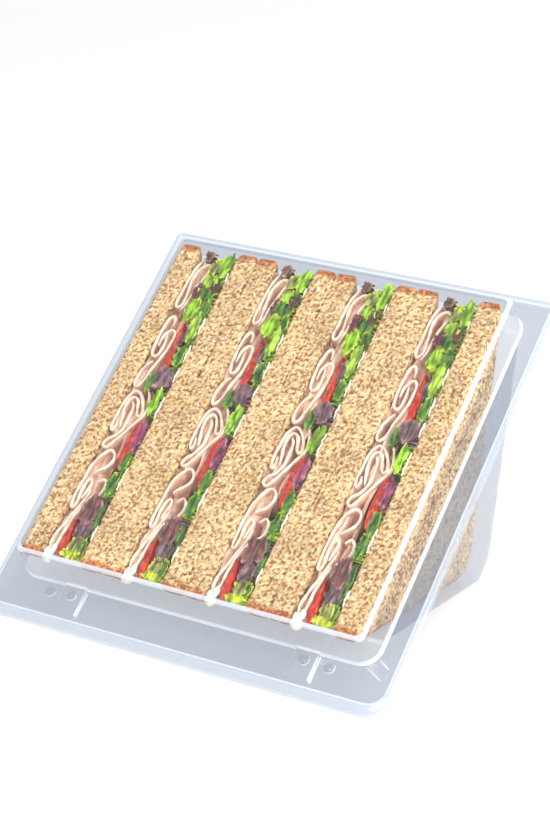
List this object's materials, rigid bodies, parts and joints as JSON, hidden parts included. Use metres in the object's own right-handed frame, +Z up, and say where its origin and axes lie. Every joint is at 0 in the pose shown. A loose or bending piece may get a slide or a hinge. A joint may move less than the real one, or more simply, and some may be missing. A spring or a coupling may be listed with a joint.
{
  "type": "sandwich wedge pack",
  "caption": "Clear thermoformed clamshell wedge pack with a ribbed trough and a hinged tray lid, filled with half sandwiches standing side by side, cut faces forward.",
  "frame": {"origin": "bottom centre of the pack's bounding box, on the surface it stands on", "axes": "+X along the pack's width, +Y from the front flange towards the back, +Z up"},
  "size_m": [0.185, 0.1668, 0.1213],
  "materials": {
    "clear_plastic": "clear thermoformed sheet, glossy, faint blue-grey tint",
    "bread": "open brown bread crumb, matt, with an orange-brown crust",
    "ham": "thin moist cooked meat slice, pale cut edges",
    "tomato": "wet red tomato flesh and skin",
    "green_leaf": "crisp green lettuce, satin, frilled edges",
    "red_leaf": "red-brown oak leaf lettuce, satin"
  },
  "bodies": {
    "base": {"base": "clear_plastic", "sandwich_1_bread_left": "bread", "sandwich_1_bread_right": "bread", "sandwich_1_ham_1": "ham", "sandwich_1_ham_2": "ham", "sandwich_1_ham_3": "ham", "sandwich_1_ham_4": "ham", "sandwich_1_ham_5": "ham", "sandwich_1_ham_6": "ham", "sandwich_1_ham_7": "ham", "sandwich_1_tomato_1": "tomato", "sandwich_1_tomato_2": "tomato", "sandwich_1_tomato_3": "tomato", "sandwich_1_lettuce_upper": "green_leaf", "sandwich_1_lettuce_lower": "red_leaf", "sandwich_2_bread_left": "bread", "sandwich_2_bread_right": "bread", "sandwich_2_ham_1": "ham", "sandwich_2_ham_2": "ham", "sandwich_2_ham_3": "ham", "sandwich_2_ham_4": "ham", "sandwich_2_ham_5": "ham", "sandwich_2_ham_6": "ham", "sandwich_2_ham_7": "ham", "sandwich_2_tomato_1": "tomato", "sandwich_2_tomato_2": "tomato", "sandwich_2_tomato_3": "tomato", "sandwich_2_lettuce_upper": "green_leaf", "sandwich_2_lettuce_lower": "red_leaf", "sandwich_3_bread_left": "bread", "sandwich_3_bread_right": "bread", "sandwich_3_ham_1": "ham", "sandwich_3_ham_2": "ham", "sandwich_3_ham_3": "ham", "sandwich_3_ham_4": "ham", "sandwich_3_ham_5": "ham", "sandwich_3_ham_6": "ham", "sandwich_3_ham_7": "ham", "sandwich_3_tomato_1": "tomato", "sandwich_3_tomato_2": "tomato", "sandwich_3_tomato_3": "tomato", "sandwich_3_lettuce_upper": "green_leaf", "sandwich_3_lettuce_lower": "red_leaf", "sandwich_4_bread_left": "bread", "sandwich_4_bread_right": "bread", "sandwich_4_ham_1": "ham", "sandwich_4_ham_2": "ham", "sandwich_4_ham_3": "ham", "sandwich_4_ham_4": "ham", "sandwich_4_ham_5": "ham", "sandwich_4_ham_6": "ham", "sandwich_4_ham_7": "ham", "sandwich_4_tomato_1": "tomato", "sandwich_4_tomato_2": "tomato", "sandwich_4_tomato_3": "tomato", "sandwich_4_lettuce_upper": "green_leaf", "sandwich_4_lettuce_lower": "red_leaf"},
    "lid": {"lid": "clear_plastic"}
  },
  "joints": [
    {"name": "lid_hinge", "type": "hinge", "parent": "base", "child": "lid", "pos_m": [0, 0.08341, 0.11415], "axis": [-1, 0, 0], "range_deg": [0, 180]}
  ]
}
